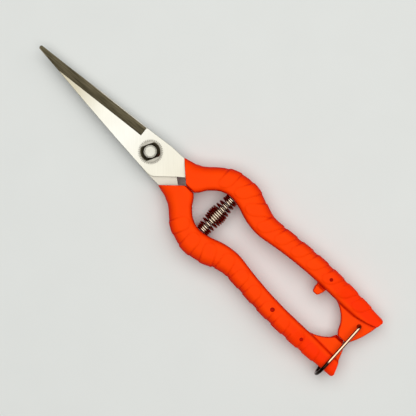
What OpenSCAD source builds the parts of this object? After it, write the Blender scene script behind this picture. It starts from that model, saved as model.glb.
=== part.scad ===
// Floral snips: two crossed blades on a bolted pivot, moulded grips, barrel spring, wire lock.
// The tool lies flat: +X runs along the blades to the tips, +Z is up, and the grips rest on z = 0.
// The two levers mirror each other across the XZ plane: the upper blade's grip lies on the -Y side.

/* [Overall] */
// Distance from the pivot to the blade tips
blade_reach = 66.6; // [60:0.1:72]
// Distance from the pivot to the tail ends of the grips
tail_reach = 124.1; // [123.6:0.1:124.6]
// Height of the grips' mid plane, where the two blades meet
mid_z = 6.5; // [6.5:0.1:7]

/* [Blades] */
// Thickness of each blade plate
blade_t = 2; // [1.6:0.1:2.4]
// Gap between the two blade plates
blade_gap = 0.1; // [0.06:0.02:0.2]
// Width of the ground bevel along the cutting edge
bevel_w = 4.05; // [3:0.05:4.4]
// Thickness left at the cutting edge
edge_t = 0.2; // [0.1:0.05:0.4]
// Half width of the tang inside a grip, across the tool
tang_half = 2.2; // [1.8:0.1:2.4]

/* [Grips] */
// Half thickness of a grip before its flats are cut
grip_half = 6.7; // [6.6:0.05:7]
// Half thickness of a grip at its tail, where the wire lock passes over it
tail_half = 4.2; // [4:0.05:4.3]
// Thickness of the webs that meet between the grips at the tail
web_t = 4.2; // [3:0.1:5]
// Half the gap between the grips at their front seam
seam_half = 0.35; // [0.2:0.05:0.5]

/* [Pivot] */
// Diameter of the pivot bolt
bolt_d = 5; // [4.8:0.1:5.2]
// Radial clearance of the bolt in the blades
pivot_clear = 0.06; // [0.03:0.01:0.1]
// Diameter of the round pivot nut
nut_d = 8.8; // [8.4:0.1:9.2]
// Width across the two spanner flats of the nut
nut_af = 6.6; // [6.2:0.1:7.2]
// Diameter of the toothed washer
washer_d = 10.9; // [10:0.1:12]
// Number of teeth round the washer
teeth = 40; // [24:1:48]

/* [Spring] */
// Diameter of the spring wire
coil_wire_d = 0.8; // [0.7:0.05:0.85]
// Outer diameter of the coil at its ends
coil_end_d = 6.3; // [6:0.1:6.8]
// Outer diameter of the coil at its middle
coil_mid_d = 8.8; // [8:0.1:9.4]
// Turns in the coil
coil_turns = 14; // [12:0.5:14]

/* [Wire lock] */
// Diameter of the lock wire
lock_d = 1.5; // [1.2:0.05:1.6]
// Distance from the lock's hinge to its far end
lock_len = 28.4; // [28.2:0.1:28.6]
// Radius of the lock's end bend, on the wire's centre line
lock_bend = 5.7; // [5.6:0.05:5.7]

/* [Hidden] */
$fn = 48;

// The frame's origin is under the middle of the tool, so the pivot stands forward of it.
pivot_x = (tail_reach - blade_reach) / 2;
bolt_r = bolt_d / 2;
upper_z = mid_z + blade_gap / 2;
lower_z = mid_z - blade_gap / 2 - blade_t;

// Grip outlines: distance behind the pivot, then distance from the tool's centre line.
outer_edge = [[11.7, 8.7], [18, 10.2], [22, 12.5], [26, 16.2], [30, 18.6], [36, 21.1], [43, 21.4],
              [50, 19.8], [57, 16.8], [64, 16.7], [76, 17.8], [92, 18.4], [106, 18], [124.6, 16.9]];
inner_edge = [[26.3, 1], [28, 3.2], [32, 7.4], [36, 9.4], [40, 9.8], [45, 8.8], [50, 7], [56, 5.9],
              [62, 6.3], [70, 7.6], [80, 8.6], [92, 9.1], [104, 9.1], [124.6, 9.8]];
half_height = [[11.7, 4.9], [24, grip_half], [96, grip_half], [106, tail_half], [124.6, tail_half]];
seam_back = 26;
grip_front = 11.7;
grip_step = 2.5;
ring_sides = 20;

// Lock hinge, on the upper grip's web, and how far the lock leans back from straight across.
lock_x = -117.7;
lock_y = -7.55;
lock_lean = 1.6;
lock_corner = 1.5;
lock_hole_d = lock_d + 0.18;

// Smooth curve through knots [u, y], with the slope at a knot taken from its neighbours.
function slope(k, i) =
    let (a = max(i - 1, 0), b = min(i + 1, len(k) - 1)) (k[b][1] - k[a][1]) / (k[b][0] - k[a][0]);
function span(k, u, i = 0) = i >= len(k) - 2 || u <= k[i + 1][0] ? i : span(k, u, i + 1);
function curve(k, u) =
    let (i = span(k, u), h = k[i + 1][0] - k[i][0], t = (u - k[i][0]) / h,
         m0 = slope(k, i) * h, m1 = slope(k, i + 1) * h)
    (2 * t^3 - 3 * t^2 + 1) * k[i][1] + (t^3 - 2 * t^2 + t) * m0
    + (3 * t^2 - 2 * t^3) * k[i + 1][1] + (t^3 - t^2) * m1;
function outer_y(u) = curve(outer_edge, u);
function inner_y(u) = u <= seam_back ? seam_half : max(seam_half, curve(inner_edge, u));
function middle_y(u) = (outer_y(u) + curve(inner_edge, max(u, seam_back))) / 2;

// Point on a Bezier curve with three control points.
function bezier(a, b, c, t) = (1 - t)^2 * a + 2 * t * (1 - t) * b + t^2 * c;

// Moves a shape drawn about the pivot into the tool's frame.
module at_pivot() { translate([pivot_x, 0, 0]) children(); }

// ---- Blades ----
// Outline of the upper blade with its tang, which bends down through the grip on the -Y side.
edge_start = [8, -6.3];
edge_end = [blade_reach - 0.6, -0.9];
tang_end = 106;
function tang_side(s, us) = [for (u = us) [-u, -middle_y(u) + s * tang_half]];
blade_outline = concat(
    [for (i = [0:8]) bezier([-3.3, 7.55], [33, 4.7], [blade_reach - 0.3, 0.45], i / 8)],
    [[blade_reach, 0.1], [blade_reach, -0.35], [blade_reach - 0.25, -0.75], edge_end, edge_start],
    [[8, -6.5], [-5.3, -7.95], [-12.3, -8.05], [-19, -9.2]],
    tang_side(-1, [24:4:tang_end - 2]),
    [[-tang_end, -middle_y(tang_end)]],
    tang_side(1, [tang_end - 2:-4:28]),
    [[-23, -3.4], [-18.3, -2.05], [-15.9, -0.15]],
    [for (i = [0:4]) bezier([-8.8, 6.3], [-7.5, 7.55], [-5.6, 7.6], i / 4)]);

module blade_plate() { linear_extrude(blade_t) polygon(blade_outline); }

// Bevel ground on the outer face: a long wedge laid along the cutting edge.
module bevel_wedge() {
    edge_angle = atan2(edge_end[1] - edge_start[1], edge_end[0] - edge_start[0]);
    fall = (blade_t - edge_t) / bevel_w;
    translate([edge_start[0], edge_start[1], 0]) rotate([0, 0, edge_angle])
        rotate([90, 0, 90]) linear_extrude(blade_reach)
            polygon([[-1, edge_t - fall], [bevel_w, blade_t], [bevel_w, blade_t + 1], [-1, blade_t + 1]]);
}

module blade() {
    difference() {
        blade_plate();
        bevel_wedge();
        translate([0, 0, -1]) cylinder(r = bolt_r + pivot_clear, h = blade_t + 2);
    }
}

module upper_blade() {
    color("gainsboro") at_pivot() translate([0, 0, upper_z]) blade();
}

// The lower blade is the same forging turned over, so its bevel faces down.
module lower_blade() {
    color("lightgray") at_pivot() translate([0, 0, lower_z + blade_t]) rotate([180, 0, 0]) blade();
}

// ---- Grips, drawn on the +Y side ----
// One ring of the grip at distance u behind the pivot: squarer inside, rounder outside.
function squash(v, n) = sign(v) * abs(v)^(2 / n);
function grip_ring(u) =
    let (a = outer_y(u), b = inner_y(u), h = lookup(u, half_height))
    [for (i = [0:ring_sides - 1])
        let (t = (i + 0.5) * 360 / ring_sides, n = cos(t) > 0 ? 2.3 : 3.6)
        [-u, (a + b) / 2 + (a - b) / 2 * squash(cos(t), n), mid_z + h * squash(sin(t), n)]];

module grip_loft() {
    rings = floor((tail_reach - grip_front) / grip_step);
    n = ring_sides;
    points = [for (i = [0:rings]) each grip_ring(grip_front + i * (tail_reach - grip_front) / rings)];
    sides = [for (i = [0:rings - 1], j = [0:n - 1], k = [0, 1])
        let (a = i * n + j, b = i * n + (j + 1) % n)
        k == 0 ? [a, b, b + n] : [a, b + n, a + n]];
    front = [for (j = [0:n - 1]) n - 1 - j];
    back = [for (j = [0:n - 1]) rings * n + j];
    polyhedron(points, concat(sides, [front, back]));
}

// Keeps a shape between the flats of the grips, top and bottom.
module between_flats() {
    intersection() {
        children();
        translate([-tail_reach - 10, -40, 0]) cube([tail_reach + 10, 80, 2 * mid_z]);
    }
}

// Slanted front face, in front of which the grip is cut away.
module front_cut() {
    translate([0, 0, -1]) linear_extrude(2 * mid_z + 2)
        polygon([[-11.4, 8.95], [-20.2, 1], [-20.7, 0], [-20.7, -3], [-5, -3], [-5, 8.95]]);
}

// Slanted tail end, behind which the grip is cut away, with a rounded outer corner.
module tail_cut(foot) {
    corner = [-tail_reach, 15.3];
    translate([0, 0, -1]) linear_extrude(2 * mid_z + 2)
        polygon(concat([foot, corner],
            [for (i = [1:4]) bezier(corner, [-tail_reach + 0.2, 16.8], [-121.3, 17.4], i / 4)],
            [[-121.3, 22], [-tail_reach - 6, 22], [-tail_reach - 6, foot[1]]]));
}

module web(outline) {
    translate([0, 0, mid_z - web_t / 2]) linear_extrude(web_t) polygon(outline);
}

// Blind hole left by a moulding pin that held the tang, open at the top face.
module pin_hole(x, y, r) {
    translate([x, y, mid_z]) cylinder(r = r, h = mid_z + 1);
}

// Round seat for one end of the coil spring, and the peg that holds it there.
spring_x = -39.8;
spring_end = 9.7;
seat_y = spring_end + 0.3;
seat_r = coil_end_d / 2 + 0.35;
peg_r = coil_end_d / 2 - coil_wire_d - 0.35;
module along_spring(from, r, h) {
    translate([spring_x, from, mid_z]) rotate([90, 0, 0]) cylinder(r = r, h = h);
}

module grip_body(foot) {
    difference() {
        between_flats() grip_loft();
        front_cut();
        tail_cut(foot);
        along_spring(seat_y, seat_r, 5);
    }
    along_spring(seat_y + 1, peg_r, 6.4);
}

// The upper blade's grip carries the hinge hole of the lock and the catch that parks it.
module upper_grip() {
    foot = [-119.1, -0.75];
    web_outline = [[-98, 12], [-103.3, 9], [-106.3, 7.75], [-109.8, 4.75], [-112.3, 0.25], [-113.8, -1.65],
                   [-118.3, -1.65], foot, [-120.3, 1.25], [-122.3, 6.25], [-123.5, 11.5], [-123.7, 15],
                   [-118, 14]];
    catch_outline = [[-97.2, 10], [-95.3, 5.2], [-92.7, 5], [-91, 8], [-90.5, 10]];
    color("orangered") at_pivot() mirror([0, 1, 0]) difference() {
        union() {
            grip_body([-122.3, 6.25]);
            web(web_outline);
            web(catch_outline);
        }
        translate([0, 0, upper_z]) mirror([0, 1, 0]) blade_plate();
        translate([lock_x, -lock_y, 0]) cylinder(d = lock_hole_d, h = 2 * mid_z);
        pin_hole(-94.6, 13.8, 0.8);
    }
}

// The lower blade's grip has a thin lip along the bottom of its web that closes the gap.
lip_t = 1.2;
module lower_grip() {
    foot = [-119.8, 4.75];
    lip_outline = [[-112.2, 4.2], [-113.6, 1.95], [-117.4, 1.95], [-118.6, 4.2]];
    web_outline = [[-98, 12], [-103.3, 9], [-107.3, 8], [-110.3, 5.25], [-113.3, 2.75], [-117.6, 2.75],
                   foot, [-121.3, 8.75], [-123.6, 14.8], [-118, 14]];
    color("orangered") at_pivot() difference() {
        union() {
            grip_body(foot);
            web(web_outline);
            translate([0, 0, mid_z - web_t / 2]) linear_extrude(lip_t) polygon(lip_outline);
        }
        translate([0, 0, lower_z]) mirror([0, 1, 0]) blade_plate();
        pin_hole(-85.1, 13, 1);
        pin_hole(-103.1, 13.7, 0.9);
    }
}

// ---- Pivot ----
washer_t = 0.8;
nut_h = 3.2;
head_r = 5;
head_h = 2.6;
bolt_top = 2 * mid_z - 0.05;
under_head = lower_z - 0.05;

module pivot_bolt() {
    color("silver") at_pivot() rotate_extrude() polygon([[0, under_head - head_h],
        [head_r * 0.55, under_head - head_h], [head_r * 0.85, under_head - head_h * 0.8],
        [head_r, under_head - head_h * 0.35], [head_r, under_head], [bolt_r, under_head],
        [bolt_r, bolt_top - 0.5], [bolt_r - 0.5, bolt_top], [0, bolt_top]]);
}

// Round nut with a coned top, cut away on two sides for a spanner down to a ledge.
nut_z = upper_z + blade_t + washer_t;
module pivot_nut() {
    nut_r = nut_d / 2;
    crown_r = bolt_r + 0.35;
    top = nut_z + nut_h;
    color("dimgray") at_pivot() rotate([0, 0, -26]) difference() {
        rotate_extrude() polygon([[0, nut_z], [nut_r, nut_z], [nut_r, top - 1.3], [crown_r, top], [0, top]]);
        for (s = [-1, 1]) translate([s * (nut_af / 2 + 5), 0, nut_z + 1.2 + 5]) cube([10, 20, 10], center = true);
        translate([0, 0, nut_z - 1]) cylinder(r = bolt_r + 0.02, h = nut_h + 2);
    }
}

module toothed_washer() {
    root_r = washer_d / 2 - 0.45;
    color("silver") at_pivot() translate([0, 0, upper_z + blade_t]) difference() {
        linear_extrude(washer_t) polygon([for (i = [0:2 * teeth - 1])
            let (r = i % 2 == 0 ? washer_d / 2 : root_r, t = i * 180 / teeth) [r * cos(t), r * sin(t)]]);
        translate([0, 0, -1]) cylinder(r = bolt_r + 0.2, h = washer_t + 2);
    }
}

// ---- Spring ----
// Barrel coil along Y: its radius swells from the ends to the middle, and its turns lie close
// at both ends and in the middle and open between.
coil_steps = 12;
coil_sides = 6;
coil_end_r = (coil_end_d - coil_wire_d) / 2;
coil_mid_r = (coil_mid_d - coil_wire_d) / 2;
coil_swell = 0.03;
function coil_wind(f) = f - coil_swell * sin(720 * f);
function coil_radius(f) = coil_end_r + (coil_mid_r - coil_end_r) * sin(180 * f)^2;
function coil_ring(f) =
    let (t = 360 * coil_turns * f, r = coil_radius(f),
         y = (spring_end - coil_wire_d / 2) * (2 * coil_wind(f) - 1))
    [for (j = [0:coil_sides - 1])
        let (s = 360 * j / coil_sides, out = r + coil_wire_d / 2 * cos(s))
        [out * cos(t), y + coil_wire_d / 2 * sin(s), out * sin(t)]];

module coil_spring() {
    n = coil_sides;
    rings = round(coil_turns * coil_steps);
    points = [for (i = [0:rings]) each coil_ring(i / rings)];
    sides = [for (i = [0:rings - 1], j = [0:n - 1], k = [0, 1])
        let (a = i * n + j, b = i * n + (j + 1) % n)
        k == 0 ? [a, b, b + n] : [a, b + n, a + n]];
    start = [for (j = [0:n - 1]) n - 1 - j];
    finish = [for (j = [0:n - 1]) rings * n + j];
    color("darkgray") at_pivot() translate([spring_x, 0, mid_z])
        polyhedron(points, concat(sides, [start, finish]));
}

// ---- Wire lock ----
// One closed loop of wire: a pin through the web, two corners, two legs and the end bend.
module wire_bend(radius, sweep, from) {
    rotate([90, 0, 90]) rotate_extrude(angle = sweep, start = from)
        translate([radius, 0]) circle(d = lock_d);
}

module lock_wire() {
    leg = lock_len - lock_d / 2 - lock_bend - lock_corner;
    rise = lock_bend - lock_corner;
    color("silver") at_pivot() translate([lock_x, lock_y, mid_z]) rotate([0, 0, lock_lean]) {
        translate([0, 0, -rise]) cylinder(d = lock_d, h = 2 * rise);
        for (s = [-1, 1]) {
            translate([0, lock_corner, s * lock_bend]) rotate([-90, 0, 0]) cylinder(d = lock_d, h = leg);
            translate([0, lock_corner, s * rise]) wire_bend(lock_corner, 90, s > 0 ? 90 : 180);
        }
        translate([0, lock_corner + leg, 0]) wire_bend(lock_bend, 180, -90);
    }
}

upper_blade();
lower_blade();
upper_grip();
lower_grip();
pivot_bolt();
pivot_nut();
toothed_washer();
coil_spring();
lock_wire();
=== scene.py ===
import math

import bmesh
import bpy
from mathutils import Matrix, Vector


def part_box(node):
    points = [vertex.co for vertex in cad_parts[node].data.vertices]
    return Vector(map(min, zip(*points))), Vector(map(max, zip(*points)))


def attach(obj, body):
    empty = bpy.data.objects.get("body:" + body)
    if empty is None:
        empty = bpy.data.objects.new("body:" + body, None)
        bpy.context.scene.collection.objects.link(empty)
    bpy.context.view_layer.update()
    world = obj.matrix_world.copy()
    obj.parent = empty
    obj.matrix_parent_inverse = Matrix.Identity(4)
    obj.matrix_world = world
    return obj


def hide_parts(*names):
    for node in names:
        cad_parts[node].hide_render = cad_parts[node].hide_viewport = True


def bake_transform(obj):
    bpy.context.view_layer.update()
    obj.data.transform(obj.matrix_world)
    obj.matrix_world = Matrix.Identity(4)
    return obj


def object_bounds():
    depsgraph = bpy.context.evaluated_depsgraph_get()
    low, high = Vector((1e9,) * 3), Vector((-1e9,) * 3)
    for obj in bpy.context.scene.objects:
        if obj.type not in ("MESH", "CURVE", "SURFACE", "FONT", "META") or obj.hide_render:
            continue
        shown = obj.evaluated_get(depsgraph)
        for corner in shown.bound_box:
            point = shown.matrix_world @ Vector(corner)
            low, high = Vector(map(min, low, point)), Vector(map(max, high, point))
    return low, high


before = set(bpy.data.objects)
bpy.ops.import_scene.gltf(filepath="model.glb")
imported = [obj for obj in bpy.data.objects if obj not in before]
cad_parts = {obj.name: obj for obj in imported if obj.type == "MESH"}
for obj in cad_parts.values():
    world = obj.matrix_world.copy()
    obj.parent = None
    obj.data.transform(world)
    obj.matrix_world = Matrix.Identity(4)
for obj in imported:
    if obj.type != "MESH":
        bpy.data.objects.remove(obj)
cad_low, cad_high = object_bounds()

# ---------------------------------------------------------------------------------------------
# Blades. Two tool-steel blades, each forged in one piece with the tang inside its grip. The
# faces are ground to a bright satin, and a wheel has hollow-ground one bevel along each cutting
# edge, tinted dark as a painted dark reflection. The lower one is the same blade turned over.
# ---------------------------------------------------------------------------------------------
BLADE_THICK = 2.0
BLADE_REACH = 66.58
EDGE_LEFT = 0.2
BEVEL_WIDE = 4.05
WHEEL_R = 30.0
WHEEL_PAST = 10.0
WHEEL_AHEAD = 5.3
PIVOT_HOLE_R = 2.56
PLATE_Z = 0.05
EDGE_START = (8.0, -6.3)
EDGE_END = (BLADE_REACH - 0.6, -0.9)
BEVEL_STARTS = 7.5
BEVEL_TURN = math.radians(5.3)
GRIND_TURN = math.radians(-46)

bolt_low, bolt_high = (Vector(corner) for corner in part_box("pivot_bolt"))
pivot = (bolt_low + bolt_high) / 2
pivot.z = (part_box("upper_blade")[0][2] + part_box("lower_blade")[1][2]) / 2


def at(x, y, z=0.0):
    """Millimetres from the pivot, at the height where the blades meet, in the row's metres."""
    return pivot + Vector((x, y, z)) / 1000


def start(name, add, **settings):
    """Adds a primitive with nothing else selected and opens it for editing."""
    bpy.ops.object.select_all(action="DESELECT")
    add(**settings)
    piece = bpy.context.object
    piece.name = name
    piece.data.name = name
    bpy.ops.object.mode_set(mode="EDIT")
    bpy.ops.mesh.select_mode(type="VERT")
    bpy.ops.mesh.select_all(action="SELECT")
    return piece


def pick(piece):
    """Selects a piece alone and makes it the active one."""
    bpy.ops.object.select_all(action="DESELECT")
    piece.select_set(True)
    bpy.context.view_layer.objects.active = piece


def settle(piece):
    """Turns the faces outwards, leaves edit mode and puts the place into the mesh."""
    bpy.ops.mesh.select_all(action="SELECT")
    bpy.ops.mesh.normals_make_consistent(inside=False)
    bpy.ops.object.mode_set(mode="OBJECT")
    bpy.ops.object.transform_apply(location=True, rotation=True, scale=True)
    return piece


def modify(piece, kind, **settings):
    """Adds a modifier and applies it."""
    modifier = piece.modifiers.new(kind.title(), kind)
    for key, value in settings.items():
        setattr(modifier, key, value)
    pick(piece)
    bpy.ops.object.modifier_apply(modifier=modifier.name)


def cut(piece, tool, operation="DIFFERENCE"):
    """Cuts a piece with a tool, which is used up."""
    modify(piece, "BOOLEAN", object=tool, operation=operation, solver="EXACT")
    bpy.data.objects.remove(tool)


def bar(name, radius, length, centre, vertices=48, rotation=(0, 0, 0)):
    """A plain round bar in millimetres, used as a drill or a grinding wheel."""
    start(name, bpy.ops.mesh.primitive_cylinder_add, vertices=vertices, radius=radius / 1000,
          depth=length / 1000, location=centre, rotation=rotation)
    return settle(bpy.context.object)


def bezier(a, b, c, steps):
    """Points on a curve from a to c that leaves and arrives along the lines to b."""
    a, b, c = Vector(a), Vector(b), Vector(c)
    return [a * (1 - t) ** 2 + b * 2 * t * (1 - t) + c * t * t
            for t in (i / steps for i in range(steps + 1))]


def trace(name, outline, low, high):
    """Draws a closed outline point by point and extrudes it from one height to another."""
    piece = start(name, bpy.ops.mesh.primitive_plane_add, size=0.001, location=at(*outline[0], low))
    bpy.ops.mesh.merge(type="CENTER")
    for a, b in zip(outline, outline[1:]):
        step = (Vector(b) - Vector(a)) / 1000
        bpy.ops.mesh.extrude_region_move(TRANSFORM_OT_translate={"value": (step.x, step.y, 0)})
    bpy.ops.mesh.select_all(action="SELECT")
    bpy.ops.mesh.edge_face_add()
    bpy.ops.mesh.extrude_region_move(TRANSFORM_OT_translate={"value": (0, 0, (high - low) / 1000)})
    return settle(piece)


def smooth(piece, degrees):
    """Shades a piece smooth, with creases where faces meet at more than this angle."""
    pick(piece)
    bpy.ops.object.shade_smooth_by_angle(angle=math.radians(degrees))


def linear(code):
    """A linear colour from an sRGB hex code."""
    parts = [int(code[i:i + 2], 16) / 255 for i in (1, 3, 5)]
    return [p / 12.92 if p <= 0.04045 else ((p + 0.055) / 1.055) ** 2.4 for p in parts] + [1.0]


def node(tree, kind, links=(), **settings):
    """Adds a node, sets its sockets and properties by name, and links (input, output) pairs."""
    added = tree.nodes.new(kind)
    for key, value in settings.items():
        if key in added.inputs:
            added.inputs[key].default_value = value
        else:
            setattr(added, key, value)
    for socket, output in links:
        tree.links.new(added.inputs[socket], output)
    return added


def material(name):
    """A new material: its node tree, its shader, and the object's own coordinates."""
    made = bpy.data.materials.new(name)
    made.use_nodes = True
    tree = made.node_tree
    return made, tree, tree.nodes["Principled BSDF"], node(tree, "ShaderNodeTexCoord").outputs["Object"]


# Satin steel: belt-ground on a slant, so fine lines cross the blade and spread the gloss. A
# painted highlight makes it palest just ahead of the pivot, and painted shade greys it at both
# ends. The lines are drawn 11 mm long and 0.6 mm wide, coarser than real grit, so that they show.
satin_steel, tree, shader, place = material("satin_ground_steel")
lines = node(tree, "ShaderNodeMapping", [("Vector", place)], vector_type="TEXTURE",
             Rotation=(0, 0, GRIND_TURN), Scale=(0.011, 0.0006, 0.0006))
grit = node(tree, "ShaderNodeTexNoise", [("Vector", lines.outputs["Vector"])], Scale=1.0, Detail=5.0,
            Roughness=0.65)
cloud = node(tree, "ShaderNodeTexNoise", [("Vector", place)], Scale=110.0, Detail=4.0)
spread = node(tree, "ShaderNodeMix", [("A", cloud.outputs["Fac"]), ("B", grit.outputs["Fac"])], Factor=0.6)
tint = node(tree, "ShaderNodeMix", [("Factor", spread.outputs["Result"])], data_type="RGBA")
tint.inputs["A"].default_value = linear("#A4A299")
tint.inputs["B"].default_value = linear("#C2C1BA")
# Painted highlight and shade: a ramp along the blade multiplies the tint, palest just ahead of the pivot
# and greyer at both ends.
length = node(tree, "ShaderNodeSeparateXYZ", [("Vector", place)])
share = node(tree, "ShaderNodeMapRange", [("Value", length.outputs["X"])])
share.inputs["From Min"].default_value = at(-18, 0).x
share.inputs["From Max"].default_value = at(BLADE_REACH, 0).x
painted_sheen_ramp = node(tree, "ShaderNodeValToRGB", [("Fac", share.outputs["Result"])])
painted_sheen_ramp.color_ramp.elements[0].color = linear("#F2EEE4")
painted_sheen_ramp.color_ramp.elements[1].color = linear("#B9B19E")
for stop, code in ((0.2, "#F6F4EE"), (0.36, "#FFFFFF"), (0.52, "#FFFEFA"), (0.72, "#DDD6C4")):
    painted_sheen_ramp.color_ramp.elements.new(stop).color = linear(code)
tint_with_painted_sheen = node(tree, "ShaderNodeMix", [("A", tint.outputs["Result"]), ("B", painted_sheen_ramp.outputs["Color"])],
            data_type="RGBA", blend_type="MULTIPLY", Factor=1.0)
gloss = node(tree, "ShaderNodeMapRange", [("Value", grit.outputs["Fac"])])
gloss.inputs["To Min"].default_value = 0.26
gloss.inputs["To Max"].default_value = 0.42
ridges = node(tree, "ShaderNodeBump", [("Height", grit.outputs["Fac"])], Strength=0.12, Distance=0.00003)
tree.links.new(shader.inputs["Base Color"], tint_with_painted_sheen.outputs["Result"])
tree.links.new(shader.inputs["Roughness"], gloss.outputs["Result"])
tree.links.new(shader.inputs["Normal"], ridges.outputs["Normal"])
shader.inputs["Metallic"].default_value = 1.0

# Hollow-ground bevel: the wheel's scratches run along the edge, and a painted dark reflection
# makes it dark and olive beside the bright flat. The scratches are drawn 9 mm long and 0.5 mm wide.
bevel_painted_dark, tree, shader, place = material("hollow_ground_bevel_painted_dark")
edgewise = node(tree, "ShaderNodeMapping", [("Vector", place)], vector_type="TEXTURE",
                Rotation=(0, 0, BEVEL_TURN), Scale=(0.009, 0.0005, 0.0005))
scratch = node(tree, "ShaderNodeTexNoise", [("Vector", edgewise.outputs["Vector"])], Scale=1.0,
               Detail=4.0, Roughness=0.6)
streak = node(tree, "ShaderNodeMapRange", [("Value", scratch.outputs["Fac"])])
streak.inputs["From Min"].default_value = 0.35
streak.inputs["From Max"].default_value = 0.65
# The tint's dark olive is a painted dark reflection; its streaks follow the scratches.
tint = node(tree, "ShaderNodeMix", [("Factor", streak.outputs["Result"])], data_type="RGBA")
tint.inputs["A"].default_value = linear("#433C29")
tint.inputs["B"].default_value = linear("#716850")
gloss = node(tree, "ShaderNodeMapRange", [("Value", scratch.outputs["Fac"])])
gloss.inputs["To Min"].default_value = 0.38
gloss.inputs["To Max"].default_value = 0.55
ridges = node(tree, "ShaderNodeBump", [("Height", scratch.outputs["Fac"])], Strength=0.15, Distance=0.00003)
tree.links.new(shader.inputs["Base Color"], tint.outputs["Result"])
tree.links.new(shader.inputs["Roughness"], gloss.outputs["Result"])
tree.links.new(shader.inputs["Normal"], ridges.outputs["Normal"])
shader.inputs["Metallic"].default_value = 0.85

# Spine, point, cutting side and neck, then down one side of the tang and back up the other.
blade_outline = (
    bezier((-3.3, 7.55), (33, 4.7), (BLADE_REACH - 0.3, 0.45), 16)
    + [(BLADE_REACH, 0.1), (BLADE_REACH, -0.35), (BLADE_REACH - 0.25, -0.75), EDGE_END, EDGE_START]
    + [(8.0, -6.5), (-5.3, -7.95), (-12.3, -8.05)]
    + bezier((-19, -9.4), (-29, -14.4), (-40, -17.6), 6)
    + bezier((-48, -16.6), (-56, -12.2), (-68, -14.0), 6)
    + bezier((-80, -15.6), (-94, -16.0), (-104, -15.2), 4)
    + [(-106, -13.6)]
    + bezier((-104, -12.0), (-92, -11.8), (-80, -11.2), 4)
    + bezier((-68, -9.8), (-56, -7.6), (-48, -12.2), 6)
    + bezier((-40, -13.8), (-31, -12.0), (-24, -4.9), 6)
    + [(-18.3, -2.05), (-15.9, -0.15)]
    + bezier((-8.8, 6.3), (-7.5, 7.55), (-5.6, 7.6), 5)
)
upper_blade = trace("upper_blade_plate", blade_outline, PLATE_Z, PLATE_Z + BLADE_THICK)
modify(upper_blade, "BEVEL", width=0.00012, segments=2, limit_method="ANGLE", angle_limit=math.radians(50))
cut(upper_blade, bar("pivot_drill", PIVOT_HOLE_R, 10, at(0, 0)))

# The grinding wheel lies along the cutting edge, from just ahead of its start to past the
# point, and just touches both sides of the bevel.
edge = Vector(EDGE_END) - Vector(EDGE_START)
edge_turn = math.atan2(edge.y, edge.x)
inward = Vector((-math.sin(edge_turn), math.cos(edge_turn)))
rise = BLADE_THICK - EDGE_LEFT
chord = math.hypot(BEVEL_WIDE, rise)
stand_off = math.sqrt(WHEEL_R ** 2 - (chord / 2) ** 2)
wheel_in = BEVEL_WIDE / 2 - stand_off * rise / chord
wheel_up = PLATE_Z + EDGE_LEFT + rise / 2 + stand_off * BEVEL_WIDE / chord
wheel_mid = Vector(EDGE_START) + edge * 0.5 + inward * wheel_in + edge.normalized() * WHEEL_AHEAD
wheel = bar("grinding_wheel", WHEEL_R, edge.length + WHEEL_PAST, at(*wheel_mid, wheel_up), 256,
            (math.pi / 2, 0, edge_turn + math.pi / 2))
cut(upper_blade, wheel)
upper_blade.data.materials.append(satin_steel)
upper_blade.data.materials.append(bevel_painted_dark)
# The bevel's faces lean a little and lie ahead of the nut.
for face in upper_blade.data.polygons:
    if 0.8 < face.normal.z < 0.985 and face.center.x > at(BEVEL_STARTS, 0).x:
        face.material_index = 1
smooth(upper_blade, 20)

pick(upper_blade)
bpy.ops.object.duplicate()
lower_blade = bpy.context.object
lower_blade.name = "lower_blade_plate"
bpy.ops.object.mode_set(mode="EDIT")
bpy.ops.mesh.select_all(action="SELECT")
bpy.ops.transform.rotate(value=math.pi, orient_axis="X", center_override=pivot)
settle(lower_blade)

# The lower blade is ground square to the upper one, and its tint is darker as painted shade.
cross_ground_shaded_steel = satin_steel.copy()
cross_ground_shaded_steel.name = "cross_ground_steel_painted_shade"
cross_ground_shaded_steel.node_tree.nodes["Mapping"].inputs["Rotation"].default_value = (0, 0, GRIND_TURN + math.pi / 2)
cross_ground_shaded_steel.node_tree.nodes["Mix.001"].inputs["A"].default_value = linear("#8A867F")
cross_ground_shaded_steel.node_tree.nodes["Mix.001"].inputs["B"].default_value = linear("#BCB9B2")
lower_blade.data.materials[0] = cross_ground_shaded_steel

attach(upper_blade, "upper_lever")
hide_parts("upper_blade")
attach(lower_blade, "lower_lever")
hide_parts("lower_blade")

# ---------------------------------------------------------------------------------------------
# Grips. Bright orange plastic moulded round each tang, with a row of soft pillows for the
# fingers and a flat web at the tail where the two grips meet. Pins held the tang in the mould
# and left round holes. The upper blade's grip also has the catch for the lock.
# ---------------------------------------------------------------------------------------------
PILLOW_PITCH = 8.9
PILLOW_FROM = -113.0
PILLOW_TO = -31.0
PILLOW_HALF = 2.6
PILLOW_INSET = 2.0
PILLOW_SPREAD = 0.3
PILLOW_PROUD = 0.38
FRONT_AT = (-15.9, 4.85)
FRONT_FACES = (0.673, -0.74)
CORNER_INSIDE = 1.5
CORNER_OUTSIDE = 3.0
RING_STEP = 1.6
WEB_HALF = 2.1
LIP_TOP = -0.9
LIP_MIDDLE = 2.1
LIP_REACH = 0.8
TAIL_HALF = 4.15
GRIP_HALF = 5.98
SEAM = 0.05
SLOT_HALF = 0.4
SLOT_DEEP = 2.6
SPRING_X = -39.8
SEAT_Y = 10.0
SEAT_R = 3.5
PEG_R = 1.9
PEG_LONG = 6.4
LOCK_HOLE = (-117.7, -7.55)

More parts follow.
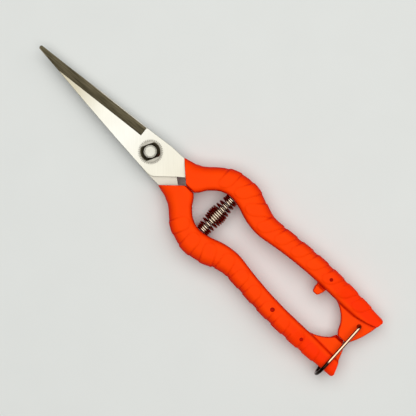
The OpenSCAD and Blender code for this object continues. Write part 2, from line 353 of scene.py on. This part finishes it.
# Centre line of a grip from its tail to its front, with its half width and half thickness.
grip_line = [
    (-128, 13.3, 3.5, TAIL_HALF), (-117, 13.45, 3.95, TAIL_HALF), (-110, 13.55, 4.25, TAIL_HALF),
    (-105, 13.6, 4.5, 4.4), (-98, 13.7, 4.6, 5.95), (-90, 13.75, 4.65, GRIP_HALF),
    (-80, 13.3, 4.7, GRIP_HALF), (-70, 12.4, 4.8, GRIP_HALF), (-64, 11.7, 5.0, GRIP_HALF),
    (-58, 11.25, 5.35, GRIP_HALF), (-52, 12.5, 5.8, GRIP_HALF), (-46, 14.75, 6.0, GRIP_HALF),
    (-40, 15.65, 5.85, GRIP_HALF), (-35, 14.9, 5.55, GRIP_HALF), (-30, 12.5, 5.35, GRIP_HALF),
    (-25.2, 8.2, 5.4, GRIP_HALF), (-23.3, 6.3, 6.3, 5.9), (-20.7, 4.4, 6.4, 5.6), (-16.1, 3.0, 6.5, 5.1),
    (-9.2, 1.2, 6.6, 4.7),
]


def spline(knots, steps):
    """A smooth run of points through the knots."""
    knots = [Vector(k) for k in knots]
    points = []
    for i in range(len(knots) - 1):
        a, b = knots[i], knots[i + 1]
        slope_a = (b - knots[max(i - 1, 0)]) / 2
        slope_b = (knots[min(i + 2, len(knots) - 1)] - a) / 2
        for t in (j / steps for j in range(steps)):
            points.append(a * (2 * t ** 3 - 3 * t * t + 1) + slope_a * (t ** 3 - 2 * t * t + t)
                          + b * (3 * t * t - 2 * t ** 3) + slope_b * (t ** 3 - t * t))
    return points + [knots[-1]]


def grip_rings(spacing, first=0.0):
    """Centre, direction, half width and half thickness of rings at a spacing along a grip."""
    points = spline(grip_line, 24)
    rings = []
    travelled, due = 0.0, first
    for before, here, after in zip(points, points[1:], points[2:]):
        travelled += (here - before).xy.length
        if travelled < due:
            continue
        due += spacing
        turn = math.atan2(after[1] - before[1], after[0] - before[0])
        side = Vector((-math.sin(turn), math.cos(turn)))
        centre = Vector((here[0], here[1])) - side * PILLOW_PROUD / 2
        rings.append((centre, turn, here[2] - PILLOW_PROUD / 2, here[3]))
    return rings


def grip_body(name, proud=0.0):
    """One ring of the grip, rounder outside than inside, extruded ring by ring to the front."""
    rings = [(centre, turn, half + proud, thick + proud * 0.8)
             for centre, turn, half, thick in grip_rings(RING_STEP)]
    centre, turn, half, thick = rings[0]
    piece = start(name, bpy.ops.mesh.primitive_plane_add, size=0.002, location=at(*centre),
                  rotation=(0, math.pi / 2, 0))
    bpy.ops.transform.resize(value=(1, half, thick), center_override=at(*centre))
    for outside, radius in ((False, CORNER_INSIDE), (True, CORNER_OUTSIDE)):
        shape = bmesh.from_edit_mesh(piece.data)
        bpy.ops.mesh.select_mode(type="VERT")
        bpy.ops.mesh.select_all(action="DESELECT")
        corners = sorted(shape.verts, key=lambda v: (piece.matrix_world @ v.co).y)
        for corner in (corners[-2:] if outside else corners[:2]):
            corner.select_set(True)
        bmesh.update_edit_mesh(piece.data)
        bpy.ops.mesh.bevel(offset=radius / 1000, segments=5, affect="VERTICES", profile=0.5)
    bpy.ops.mesh.select_mode(type="FACE")
    bpy.ops.mesh.select_all(action="SELECT")
    for before, here in zip(rings, rings[1:]):
        step = (here[0] - before[0]) / 1000
        spot = at(*here[0])
        bpy.ops.mesh.extrude_region_move(TRANSFORM_OT_translate={"value": (step.x, step.y, 0)})
        bpy.ops.transform.rotate(value=before[1] - here[1], orient_axis="Z", center_override=spot)
        wider = here[2] / before[2]
        bpy.ops.transform.resize(value=(wider, wider, here[3] / before[3]), center_override=spot)
    settle(piece)
    modify(piece, "SUBSURF", levels=1, render_levels=1)
    return piece


def join(piece, *others):
    """Puts separate shells into one piece."""
    bpy.ops.object.select_all(action="DESELECT")
    for other in (*others, piece):
        other.select_set(True)
    bpy.context.view_layer.objects.active = piece
    bpy.ops.object.join()


def pillows(first, slant):
    """Raised ovals across a grip: a slightly larger body, kept only where slanted prisms stand."""
    prisms = []
    for centre, turn, half, thick in grip_rings(PILLOW_PITCH, first):
        if not PILLOW_FROM < centre.x < PILLOW_TO:
            continue
        along = Vector((math.cos(turn), math.sin(turn)))
        out = Vector((-along.y, along.x))
        heart = centre - out * (half - PILLOW_INSET - PILLOW_HALF)
        outline = [heart - along * PILLOW_HALF * math.cos(t) - out * PILLOW_HALF * math.sin(t)
                   for t in (math.pi * i / 12 for i in range(13))]
        outline += [centre + along * (PILLOW_HALF + PILLOW_SPREAD) + out * (half + 2),
                    centre - along * (PILLOW_HALF + PILLOW_SPREAD) + out * (half + 2)]
        slanted = [p - along * slant * (p - heart).dot(out) for p in outline]
        prisms.append(trace("pillow_prism", slanted, -8, 8))
    join(*prisms)
    raised = grip_body("raised_pillows", PILLOW_PROUD)
    cut(raised, prisms[0], "INTERSECT")
    return raised


def trim(piece, point, away):
    """Cuts a piece off at an upright plane, and closes the cut."""
    pick(piece)
    bpy.ops.object.mode_set(mode="EDIT")
    bpy.ops.mesh.select_all(action="SELECT")
    bpy.ops.mesh.bisect(plane_co=at(*point), plane_no=(*away, 0), use_fill=True, clear_outer=True)
    settle(piece)


def flange(name, outline, half):
    """A flat web at the grip's mid plane with rounded edges."""
    piece = trace(name, outline, -half, half)
    modify(piece, "BEVEL", width=0.0006, segments=3, limit_method="ANGLE", angle_limit=math.radians(60))
    return piece


def mould(piece):
    """Runs the shells of a grip into one skin, with the soft inner corners of a moulding."""
    modify(piece, "REMESH", mode="VOXEL", voxel_size=0.00034, adaptivity=0.0)
    modify(piece, "SMOOTH", factor=0.5, iterations=3)


def flip_side(piece):
    """Mirrors a piece across the tool's middle plane."""
    pick(piece)
    bpy.ops.object.mode_set(mode="EDIT")
    bpy.ops.mesh.select_all(action="SELECT")
    bpy.ops.transform.resize(value=(1, -1, 1), center_override=pivot)
    settle(piece)


def drill(piece, x, y, radius, depth):
    """A round hole from the top face of a grip, drilled to a depth."""
    cut(piece, bar("drill", radius, depth * 2, at(x, y, GRIP_HALF), 40))


# Front face, seam, and the spring's seat and peg are the same on both grips. The seam is a
# slot at the top and nearly closed below.
lower_grip = grip_body("lower_grip_moulding")
trim(lower_grip, FRONT_AT, FRONT_FACES)
trim(lower_grip, (-22, SEAM), (0, -1))
cut(lower_grip, trace("seam_slot", [(-28, -1), (-14, -1), (-14, SLOT_HALF), (-28, SLOT_HALF)],
                      GRIP_HALF - SLOT_DEEP, 8))
cut(lower_grip, bar("seat_drill", SEAT_R, 5, at(SPRING_X, SEAT_Y - 2.5), 40, (math.pi / 2, 0, 0)))
spring_peg = bar("spring_peg", PEG_R, PEG_LONG, at(SPRING_X, SEAT_Y + 1 - PEG_LONG / 2), 40,
                 (math.pi / 2, 0, 0))
join(lower_grip, spring_peg)
bpy.ops.object.duplicate()
upper_grip = bpy.context.object
upper_grip.name = "upper_grip_moulding"

# Tail ends: each is cut off on a slant with a rounded outer corner. The upper blade's grip
# also narrows there, so its web shows as a wedge.
cut(lower_grip, trace("lower_tail_cutter", [(-119.8, 4.75), (-124.0, 15.0)]
                      + bezier((-124.1, 15.4), (-124.0, 17.2), (-121.0, 17.5), 6)
                      + [(-121.0, 22), (-132, 22), (-132, 4.75)], -9, 9))
cut(upper_grip, trace("upper_tail_cutter", [(-122.6, 7.0), (-123.8, 14.6)]
                      + bezier((-124.0, 15.3), (-124.1, 16.6), (-121.9, 17.3), 6)
                      + [(-121.9, 22), (-132, 22), (-132, 7.0)], -9, 9))
cut(upper_grip, trace("wedge_cutter", bezier((-106.5, 9.0), (-115.5, 9.0), (-124.8, 13.2), 8)
                      + [(-132, 13.2), (-132, 3), (-106.5, 3)], -9, 9))

# The webs, the lip under the gap between them, and each grip's own pillows.
lower_web = flange("lower_web", [(-98, 12.5)]
                   + bezier((-103.3, 9.2), (-109.5, 7.6), (-113.3, 2.8), 8)
                   + [(-117.6, 2.75), (-119.8, 4.75)]
                   + bezier((-121.3, 8.75), (-122.6, 12), (-123.7, 15.2), 4)
                   + [(-120, 15)], WEB_HALF)
web_lip = trace("web_lip", [(-112.2, 4.2), (-113.4, 1.7), (-117.6, 1.7), (-118.6, 4.2)], -WEB_HALF, LIP_TOP)
join(lower_grip, lower_web, web_lip, pillows(first=0.0, slant=0.05))
mould(lower_grip)

upper_web = flange("upper_web", [(-98, 12.5)]
                   + bezier((-103.3, 9.0), (-110.2, 6.4), (-112.3, 0.25), 8)
                   + [(-113.8, -1.65), (-118.3, -1.6)]
                   + bezier((-119.1, -0.75), (-123.2, 6), (-123.8, 14.9), 8)
                   + [(-120, 15)], WEB_HALF)
catch_neck = flange("catch_neck", [(-96.6, 10), (-96.2, 7), (-92.2, 7), (-91.4, 10)], 1.3)
catch_lip = flange("catch_lip", [(-96.5, 8.2), (-95.3, 5.2), (-94.8, 4.8), (-92.9, 4.8), (-92.4, 5.2),
                                 (-91.6, 8.2)], WEB_HALF)
join(upper_grip, upper_web, catch_neck, catch_lip, pillows(first=7.4, slant=0.45))
mould(upper_grip)

# The pin holes, and the hole that the lock hinges in. The upper grip is still on the lower
# grip's side here.
drill(lower_grip, -85.1, 13.0, radius=1.0, depth=1.0)
drill(lower_grip, -103.1, 13.7, radius=0.85, depth=2.0)
drill(upper_grip, -94.6, 13.8, radius=0.8, depth=1.0)
cut(upper_grip, bar("lock_drill", 0.84, 20, at(LOCK_HOLE[0], -LOCK_HOLE[1]), 32))
cut(upper_grip, bar("lock_countersink", 1.1, 1.0, at(LOCK_HOLE[0], -LOCK_HOLE[1], WEB_HALF), 32))
flip_side(upper_grip)

# Matt polypropylene: a slightly cloudy orange, deepened to red by painted shade where the surface
# slopes, in hollows and along the outside of the tail. The grain of the mould is 0.4 mm across,
# coarser than the real one, and spreads the gloss.
orange_plastic, tree, shader, place = material("moulded_orange_polypropylene")
cloud = node(tree, "ShaderNodeTexNoise", [("Vector", place)], Scale=120.0, Detail=3.0)
tint = node(tree, "ShaderNodeMix", [("Factor", cloud.outputs["Fac"])], data_type="RGBA")
tint.inputs["A"].default_value = linear("#FF3E00")
tint.inputs["B"].default_value = linear("#FF4800")
# Painted shade: the orange is deepened to red where the surface slopes away from level.
facing = node(tree, "ShaderNodeTexCoord")
slope = node(tree, "ShaderNodeSeparateXYZ", [("Vector", facing.outputs["Normal"])])
level = node(tree, "ShaderNodeMath", [(0, slope.outputs["Z"])], operation="ABSOLUTE")
flat = node(tree, "ShaderNodeMapRange", [("Value", level.outputs["Value"])])
flat.inputs["From Min"].default_value = 0.35
flat.inputs["From Max"].default_value = 0.985
painted_slope_shade = node(tree, "ShaderNodeMix", [("Factor", flat.outputs["Result"]), ("B", tint.outputs["Result"])],
                 data_type="RGBA")
painted_slope_shade.inputs["A"].default_value = linear("#D81800")
# Painted shade: the tint is redder along the outside of the tail.
where = node(tree, "ShaderNodeSeparateXYZ", [("Vector", place)])
back = node(tree, "ShaderNodeMapRange", [("Value", where.outputs["X"])], interpolation_type="SMOOTHSTEP")
back.inputs["From Min"].default_value = at(-80, 0).x
back.inputs["From Max"].default_value = at(-112, 0).x
off_middle = node(tree, "ShaderNodeMath", [(0, where.outputs["Y"])], operation="ABSOLUTE")
outer = node(tree, "ShaderNodeMapRange", [("Value", off_middle.outputs["Value"])],
             interpolation_type="SMOOTHSTEP")
outer.inputs["From Min"].default_value = 0.0095
outer.inputs["From Max"].default_value = 0.0125
tail_shade_share = node(tree, "ShaderNodeMath", [(0, back.outputs["Result"]), (1, outer.outputs["Result"])],
                  operation="MULTIPLY")
painted_tail_shade = node(tree, "ShaderNodeMix", [("Factor", tail_shade_share.outputs["Value"]),
                                         ("A", painted_slope_shade.outputs["Result"])], data_type="RGBA")
painted_tail_shade.inputs["B"].default_value = linear("#FD3200")
# Painted shade: deep red in hollows and creases, where the pointiness is low.
hollows = node(tree, "ShaderNodeNewGeometry")
crease_shade_mask = node(tree, "ShaderNodeMapRange", [("Value", hollows.outputs["Pointiness"])])
crease_shade_mask.inputs["From Min"].default_value = 0.455
crease_shade_mask.inputs["From Max"].default_value = 0.494
painted_crease_shade = node(tree, "ShaderNodeMix", [("Factor", crease_shade_mask.outputs["Result"]),
                                           ("B", painted_tail_shade.outputs["Result"])], data_type="RGBA")
painted_crease_shade.inputs["A"].default_value = linear("#BC1200")
grain = node(tree, "ShaderNodeTexNoise", [("Vector", place)], Scale=2600.0, Detail=2.0)
gloss = node(tree, "ShaderNodeMapRange", [("Value", cloud.outputs["Fac"])])
gloss.inputs["To Min"].default_value = 0.50
gloss.inputs["To Max"].default_value = 0.64
skin = node(tree, "ShaderNodeBump", [("Height", grain.outputs["Fac"])], Strength=0.12, Distance=0.00004)
tree.links.new(shader.inputs["Base Color"], painted_crease_shade.outputs["Result"])
tree.links.new(shader.inputs["Roughness"], gloss.outputs["Result"])
tree.links.new(shader.inputs["Normal"], skin.outputs["Normal"])
shader.inputs["IOR"].default_value = 1.49
shader.inputs["Specular IOR Level"].default_value = 0.04

# The thin lip under the gap between the webs is painted a deep red all over, as painted shade in the gap.
lip_shade_plastic = orange_plastic.copy()
lip_shade_plastic.name = "lip_painted_shade_polypropylene"
for socket in ("A", "B"):
    lip_shade_plastic.node_tree.nodes["Mix"].inputs[socket].default_value = linear("#C41000")

# The painted shade goes on the top and the edges of the lip.
for piece, lever, stands_for in ((lower_grip, "lower_lever", "lower_grip"),
                                 (upper_grip, "upper_lever", "upper_grip")):
    smooth(piece, 40)
    piece.data.materials.append(orange_plastic)
    piece.data.materials.append(lip_shade_plastic)
    for face in piece.data.polygons:
        spot = (face.center - pivot) * 1000
        on_lip = spot.x < -111.5 and abs(spot.y - LIP_MIDDLE) < LIP_REACH
        if on_lip and spot.z < 0.6 and face.normal.z > -0.2:
            face.material_index = 1
    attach(piece, lever)
    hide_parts(stands_for)

# ---------------------------------------------------------------------------------------------
# Pivot. A turned 5 mm bolt comes up through both blades from its domed head underneath. A
# spring-steel washer with fine teeth round its rim bites into the upper blade, and a round nut
# with a coned top, milled flat on two sides for a spanner, is run down on to it.
# ---------------------------------------------------------------------------------------------
BOLT_R = 2.5
HEAD_R = 5.0
HEAD_TALL = 2.6
THREAD_PITCH = 0.8
THREAD_TURNS = 3
THREAD_END = 0.75
WASHER_R = 5.45
WASHER_ROOT_R = 4.65
WASHER_THICK = 0.8
TEETH = 40
TOOTH_DROP = 0.45
NUT_R = 4.4
NUT_FLATS = 6.6
NUT_TALL = 3.2
NUT_LEDGE = 1.2
CROWN_R = 2.76
NUT_TURN = -26.0
BOLT_TOP = cad_high.z * 1000 - pivot.z * 1000 - 0.05
UNDER_HEAD = -PLATE_Z - BLADE_THICK - 0.05
WASHER_Z = PLATE_Z + BLADE_THICK
NUT_Z = WASHER_Z + WASHER_THICK


def select(piece, kind, wanted):
    """Selects the vertices, edges or faces that pass a test, and nothing else."""
    bpy.ops.mesh.select_mode(type=kind)
    bpy.ops.mesh.select_all(action="DESELECT")
    shape = bmesh.from_edit_mesh(piece.data)
    for part in {"VERT": shape.verts, "EDGE": shape.edges, "FACE": shape.faces}[kind]:
        if wanted(part):
            part.select_set(True)
    shape.select_flush_mode()
    bmesh.update_edit_mesh(piece.data)


def lathe(name, profile, steps=64):
    """Draws half an outline, radius and height, and spins it round the pivot."""
    piece = start(name, bpy.ops.mesh.primitive_plane_add, size=0.001,
                  location=at(profile[0][0], 0, profile[0][1]))
    bpy.ops.mesh.merge(type="CENTER")
    for a, b in zip(profile, profile[1:]):
        step = ((b[0] - a[0]) / 1000, 0, (b[1] - a[1]) / 1000)
        bpy.ops.mesh.extrude_region_move(TRANSFORM_OT_translate={"value": step})
    bpy.ops.mesh.select_all(action="SELECT")
    bpy.ops.mesh.spin(steps=steps, angle=math.tau, center=at(0, 0), axis=(0, 0, 1))
    bpy.ops.mesh.select_all(action="SELECT")
    bpy.ops.mesh.remove_doubles(threshold=0.000002)
    return settle(piece)


# The bolt, from its domed head up: a plain shank, three turns of thread inside the nut, and
# an end with a shallow groove round a low dome.
thread = []
for turn in range(THREAD_TURNS):
    crest = BOLT_TOP - THREAD_END - (THREAD_TURNS - 1 - turn) * THREAD_PITCH
    thread += [(BOLT_R - 0.35, crest - THREAD_PITCH / 2), (BOLT_R, crest - 0.06), (BOLT_R, crest + 0.06)]
pivot_bolt = lathe("pivot_bolt_turned", [
    (0, UNDER_HEAD - HEAD_TALL), (1.6, UNDER_HEAD - HEAD_TALL + 0.04), (2.9, UNDER_HEAD - HEAD_TALL + 0.22),
    (3.9, UNDER_HEAD - HEAD_TALL + 0.62), (4.6, UNDER_HEAD - HEAD_TALL + 1.2), (HEAD_R, UNDER_HEAD - 0.8),
    (HEAD_R, UNDER_HEAD - 0.15), (HEAD_R - 0.15, UNDER_HEAD), (BOLT_R, UNDER_HEAD)] + thread + [
    (BOLT_R - 0.02, BOLT_TOP - 0.3), (BOLT_R - 0.08, BOLT_TOP - 0.1), (BOLT_R - 0.28, BOLT_TOP - 0.06),
    (BOLT_R - 0.34, BOLT_TOP - 0.14), (BOLT_R - 0.42, BOLT_TOP - 0.06), (1.2, BOLT_TOP - 0.02),
    (0, BOLT_TOP)])
smooth(pivot_bolt, 20)

# Washer: a disc whose rim is cut into teeth by drawing every other pair of points inwards.
toothed_washer = start("toothed_washer_stamped", bpy.ops.mesh.primitive_circle_add, vertices=TEETH * 4,
                       radius=WASHER_R / 1000, fill_type="NGON", location=at(0, 0, WASHER_Z))


def in_notch(vertex):
    """True on two points of every four round the rim."""
    turn = math.atan2(vertex.co.y, vertex.co.x) / math.tau * TEETH * 4
    return round(turn) % 4 in (0, 1)


select(toothed_washer, "VERT", in_notch)
shrink = WASHER_ROOT_R / WASHER_R
bpy.ops.transform.resize(value=(shrink, shrink, 1), center_override=at(0, 0, WASHER_Z))
bpy.ops.mesh.select_mode(type="FACE")
bpy.ops.mesh.select_all(action="SELECT")
bpy.ops.mesh.extrude_region_move(TRANSFORM_OT_translate={"value": (0, 0, WASHER_THICK / 1000)})
select(toothed_washer, "VERT", lambda v: v.co.z > 0.0001 and v.co.xy.length * 1000 > WASHER_R - 0.1)
bpy.ops.transform.translate(value=(0, 0, -TOOTH_DROP / 1000))
settle(toothed_washer)
modify(toothed_washer, "BEVEL", width=0.00008, segments=2, limit_method="ANGLE",
       angle_limit=math.radians(40))
cut(toothed_washer, bar("washer_drill", BOLT_R + 0.2, 10, at(0, 0)))
smooth(toothed_washer, 30)

# Nut: turned round with a coned top, then two sides are milled away down to a ledge.
NUT_TOP = NUT_Z + NUT_TALL
pivot_nut = lathe("pivot_nut_turned", [
    (BOLT_R + 0.03, NUT_Z), (NUT_R - 0.12, NUT_Z), (NUT_R, NUT_Z + 0.12), (NUT_R, NUT_TOP - 1.35),
    (NUT_R - 0.1, NUT_TOP - 1.2), (CROWN_R + 0.08, NUT_TOP - 0.05), (CROWN_R, NUT_TOP),
    (BOLT_R + 0.08, NUT_TOP), (BOLT_R + 0.03, NUT_TOP - 0.06), (BOLT_R + 0.03, NUT_Z)], 96)
across = Vector((math.cos(math.radians(NUT_TURN)), math.sin(math.radians(NUT_TURN))))
along = Vector((-across.y, across.x))
for side in (-1, 1):
    near, far = across * side * NUT_FLATS / 2, across * side * 7
    mill = trace("spanner_mill", [near - along * 6, far - along * 6, far + along * 6, near + along * 6],
                 NUT_Z + NUT_LEDGE, NUT_TOP + 2)
    cut(pivot_nut, mill)
modify(pivot_nut, "BEVEL", width=0.00008, segments=2, limit_method="ANGLE", angle_limit=math.radians(45))
smooth(pivot_nut, 30)


def plated(name, dark, light, low, high, grain):
    """Plated or turned steel: a cloudy tint, and gloss that varies with fine grain."""
    made, tree, shader, place = material(name)
    cloud = node(tree, "ShaderNodeTexNoise", [("Vector", place)], Scale=400.0, Detail=4.0)
    tint = node(tree, "ShaderNodeMix", [("Factor", cloud.outputs["Fac"])], data_type="RGBA")
    tint.inputs["A"].default_value = linear(dark)
    tint.inputs["B"].default_value = linear(light)
    wear = node(tree, "ShaderNodeTexNoise", [("Vector", place)], Scale=grain, Detail=3.0)
    gloss = node(tree, "ShaderNodeMapRange", [("Value", wear.outputs["Fac"])])
    gloss.inputs["To Min"].default_value = low
    gloss.inputs["To Max"].default_value = high
    ripple = node(tree, "ShaderNodeBump", [("Height", wear.outputs["Fac"])], Strength=0.08,
                  Distance=0.00002)
    tree.links.new(shader.inputs["Base Color"], tint.outputs["Result"])
    tree.links.new(shader.inputs["Roughness"], gloss.outputs["Result"])
    tree.links.new(shader.inputs["Normal"], ripple.outputs["Normal"])
    shader.inputs["Metallic"].default_value = 1.0
    return made


# Bright turned steel on the bolt, zinc on the washer and the nut's milled ledges, and a dark
# tint on the nut's cone and sides, a painted dark reflection, and between the washer's teeth,
# painted shadow. Each is mottled in patches of 2.5 mm with a grain under 1 mm, coarser than
# real plating so that they show.
turned_steel = plated("turned_bright_steel", "#918F83", "#A9A79E", 0.20, 0.34, 1800.0)
zinc_flats = plated("zinc_plated_flats", "#807D72", "#969288", 0.22, 0.36, 1500.0)
dark_reflection_and_shadow = plated("painted_dark_reflection_and_shadow", "#4C4636", "#686048", 0.16, 0.28, 1500.0)
pivot_bolt.data.materials.append(turned_steel)
toothed_washer.data.materials.append(zinc_flats)
toothed_washer.data.materials.append(dark_reflection_and_shadow)
# Painted shadow: the sloping faces between the washer's teeth take the dark material.
for face in toothed_washer.data.polygons:
    if 0.2 < face.normal.z < 0.97:
        face.material_index = 1
pivot_nut.data.materials.append(zinc_flats)
pivot_nut.data.materials.append(dark_reflection_and_shadow)
# Painted dark reflection: the nut's cone and sides above the ledge take the dark material.
for face in pivot_nut.data.polygons:
    if face.center.z > at(0, 0, NUT_Z + NUT_LEDGE + 0.1).z and face.normal.z < 0.95:
        face.material_index = 1
for piece, stands_for, slot in ((pivot_bolt, "pivot_bolt", "bolt_steel"),
                                (toothed_washer, "toothed_washer", "washer_steel"),
                                (pivot_nut, "pivot_nut", "nut_steel")):
    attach(piece, "upper_lever")
    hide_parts(stands_for)

# ---------------------------------------------------------------------------------------------
# Spring. Polished steel wire wound into a barrel: close turns at both ends to sit on the
# grips' pegs, open turns where it swells, and close turns again round the middle.
# ---------------------------------------------------------------------------------------------
COIL_WIRE = 0.9
COIL_END_R = 3.15
COIL_MID_R = 4.4
COIL_STEPS = 28
COIL_STARTS_AT = -0.6

# Where the wire lies across the tool after every whole turn, from seat to seat.
turn_heights = [-9.3, -8.5, -7.65, -5.75, -3.9, -2.2, -1.1, -0.1, 0.9, 2.0, 3.1, 4.7, 6.6, 7.75, 8.6, 9.3]
path = bpy.data.curves.new("coil_path", "CURVE")
path.dimensions = "3D"
path.bevel_depth = COIL_WIRE / 2000
path.bevel_resolution = 3
path.use_fill_caps = True
helix = path.splines.new("POLY")
winding = spline([(i, y) for i, y in enumerate(turn_heights)], COIL_STEPS)
helix.points.add(len(winding) - 1)
for point, (turn, y) in zip(helix.points, winding):
    swell = math.sin(math.pi * turn / (len(turn_heights) - 1)) ** 2
    radius = COIL_END_R + (COIL_MID_R - COIL_END_R) * swell - COIL_WIRE / 2
    angle = math.tau * turn + COIL_STARTS_AT
    point.co = (*at(SPRING_X + radius * math.cos(angle), y, radius * math.sin(angle)), 1)
coil_spring = bpy.data.objects.new("coil_spring_wound", path)
bpy.context.scene.collection.objects.link(coil_spring)
pick(coil_spring)
bpy.ops.object.convert(target="MESH")
coil_spring = bpy.context.object
smooth(coil_spring, 60)


def paint_dark_side_reflection(made, code, side, crown):
    """Paints a dark reflection down a wire's sides, and leaves its top and bottom bright."""
    tree = made.node_tree
    shader = tree.nodes["Principled BSDF"]
    polished = shader.inputs["Base Color"].links[0].from_socket
    normal = tree.nodes["Texture Coordinate"].outputs["Normal"]
    facing = node(tree, "ShaderNodeSeparateXYZ", [("Vector", normal)])
    level = node(tree, "ShaderNodeMath", [(0, facing.outputs["Z"])], operation="ABSOLUTE")
    crown_share = node(tree, "ShaderNodeMapRange", [("Value", level.outputs["Value"])],
                  interpolation_type="SMOOTHSTEP")
    crown_share.inputs["From Min"].default_value = side
    crown_share.inputs["From Max"].default_value = crown
    mixed = node(tree, "ShaderNodeMix", [("Factor", crown_share.outputs["Result"]), ("B", polished)],
                 data_type="RGBA")
    mixed.inputs["A"].default_value = linear(code)
    tree.links.new(shader.inputs["Base Color"], mixed.outputs["Result"])


# Polished spring wire: a little straw-coloured, with a brown-red painted reflection down its sides, and
# almost a mirror.
spring_wire = plated("polished_spring_wire", "#B4A890", "#D2C6AE", 0.04, 0.09, 1200.0)
paint_dark_side_reflection(spring_wire, "#8A3A26", 0.86, 0.985)
coil_spring.data.materials.append(spring_wire)
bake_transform(coil_spring)
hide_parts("coil_spring")

# ---------------------------------------------------------------------------------------------
# Wire lock. One length of bright 1.5 mm wire bent into a loop that hinges in the upper grip's
# web. Its legs pass over and under the tail of the other grip, and its end bend holds the
# snips shut.
# ---------------------------------------------------------------------------------------------
LOCK_D = 1.5
LOCK_LONG = 28.4
LOCK_BEND = 5.7
LOCK_CORNER = 1.5
LOCK_LEAN = 1.6
DARK_FROM = 0.0118
DARK_TO = 0.0134
leg = LOCK_LONG - LOCK_D / 2 - LOCK_BEND - LOCK_CORNER
riser = LOCK_BEND - LOCK_CORNER
hinge_x, hinge_y = LOCK_HOLE


def draw_out(x, y, z):
    """Extrudes the open end of the wire."""
    bpy.ops.mesh.extrude_region_move(TRANSFORM_OT_translate={"value": (x / 1000, y / 1000, z / 1000)})


def wrap(y, z, degrees, steps):
    """Bends the open end of the wire round a post that lies along X."""
    bpy.ops.mesh.spin(steps=steps, angle=math.radians(degrees), center=at(hinge_x, y, z), axis=(1, 0, 0))


lock_wire = start("lock_wire_bent", bpy.ops.mesh.primitive_circle_add, vertices=20, radius=LOCK_D / 2000,
                  fill_type="NOTHING", location=at(hinge_x, hinge_y))
draw_out(0, 0, riser)
wrap(hinge_y + LOCK_CORNER, riser, 90, 8)
draw_out(0, leg, 0)
wrap(hinge_y + LOCK_CORNER + leg, 0, 180, 28)
draw_out(0, -leg, 0)
wrap(hinge_y + LOCK_CORNER, -riser, 90, 8)
draw_out(0, 0, riser)
bpy.ops.mesh.select_all(action="SELECT")
bpy.ops.mesh.remove_doubles(threshold=0.00001)
bpy.ops.transform.rotate(value=-math.radians(LOCK_LEAN), orient_axis="Z",
                         center_override=at(hinge_x, hinge_y))
settle(lock_wire)
smooth(lock_wire, 60)

# Copper-washed drawn wire: bright on its crown, with a brown painted dark reflection down its
# sides, and brown-black round the end bend.
copper_wire = plated("copper_washed_wire", "#C69C80", "#DCB698", 0.06, 0.12, 1500.0)
paint_dark_side_reflection(copper_wire, "#6A2E1C", 0.74, 0.93)
tree = copper_wire.node_tree
shader = tree.nodes["Principled BSDF"]
wash = shader.inputs["Base Color"].links[0].from_socket
place = tree.nodes["Texture Coordinate"].outputs["Object"]
length = node(tree, "ShaderNodeSeparateXYZ", [("Vector", place)])
end_share = node(tree, "ShaderNodeMapRange", [("Value", length.outputs["Y"])],
                 interpolation_type="SMOOTHSTEP")
end_share.inputs["From Min"].default_value = DARK_FROM
end_share.inputs["From Max"].default_value = DARK_TO
darkened = node(tree, "ShaderNodeMix", [("Factor", end_share.outputs["Result"]), ("A", wash)],
                data_type="RGBA")
darkened.inputs["B"].default_value = linear("#281A14")
tree.links.new(shader.inputs["Base Color"], darkened.outputs["Result"])
lock_wire.data.materials.append(copper_wire)
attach(lock_wire, "wire_lock")
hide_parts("lock_wire")

# ---------------------------------------------------------------------------------------------
# Studio. A pale matt floor, one wide soft light over the tool and a weaker fill, and a camera
# looking straight down on it, turned so that the blades point to the upper left.
# ---------------------------------------------------------------------------------------------
VIEW_WIDE = 180.9
VIEW_MIDDLE = (-34.8, 0.45)
CAMERA_HIGH = 620.0
SENSOR = 36.0
CAMERA_TURN = 223.65
bpy.ops.object.select_all(action="DESELECT")
bpy.ops.mesh.primitive_plane_add(size=4.0, location=(0, 0, cad_low.z))
floor = bpy.context.object
floor.name = "floor"
paper, tree, shader, place = material("pale_matt_paper")
fibre = node(tree, "ShaderNodeTexNoise", [("Vector", place)], Scale=40.0, Detail=3.0)
tint = node(tree, "ShaderNodeMix", [("Factor", fibre.outputs["Fac"])], data_type="RGBA")
tint.inputs["A"].default_value = linear("#DADCD8")
tint.inputs["B"].default_value = linear("#DEE0DC")
tree.links.new(shader.inputs["Base Color"], tint.outputs["Result"])
shader.inputs["Roughness"].default_value = 0.9
floor.data.materials.append(paper)

world = bpy.data.worlds.new("studio")
bpy.context.scene.world = world
world.use_nodes = True
world.node_tree.nodes["Background"].inputs["Color"].default_value = linear("#F2F4F6")
world.node_tree.nodes["Background"].inputs["Strength"].default_value = 0.155


def soft_light(name, size, power, location):
    """A square area light that faces the middle of the tool."""
    bpy.ops.object.light_add(type="AREA", location=location)
    light = bpy.context.object
    light.name = name
    light.data.shape = "SQUARE"
    light.data.size = size
    light.data.energy = power
    light.rotation_euler = (-Vector(location)).to_track_quat("-Z", "Y").to_euler()


soft_light("overhead_softbox", size=1.3, power=12.3, location=(0.05, -0.08, 0.95))
soft_light("side_fill", size=0.5, power=0.8, location=(-0.5, -0.7, 0.6))

camera_data = bpy.data.cameras.new("camera")
camera = bpy.data.objects.new("camera", camera_data)
bpy.context.scene.collection.objects.link(camera)
bpy.context.scene.camera = camera
camera_data.sensor_width = SENSOR
camera_data.lens = SENSOR * CAMERA_HIGH / VIEW_WIDE
camera_data.clip_start = 0.01
aim = at(*VIEW_MIDDLE)
camera.location = (aim.x, aim.y, aim.z + CAMERA_HIGH / 1000)
camera.rotation_euler = (0, 0, math.radians(CAMERA_TURN))
bpy.context.scene.view_settings.view_transform = "Standard"
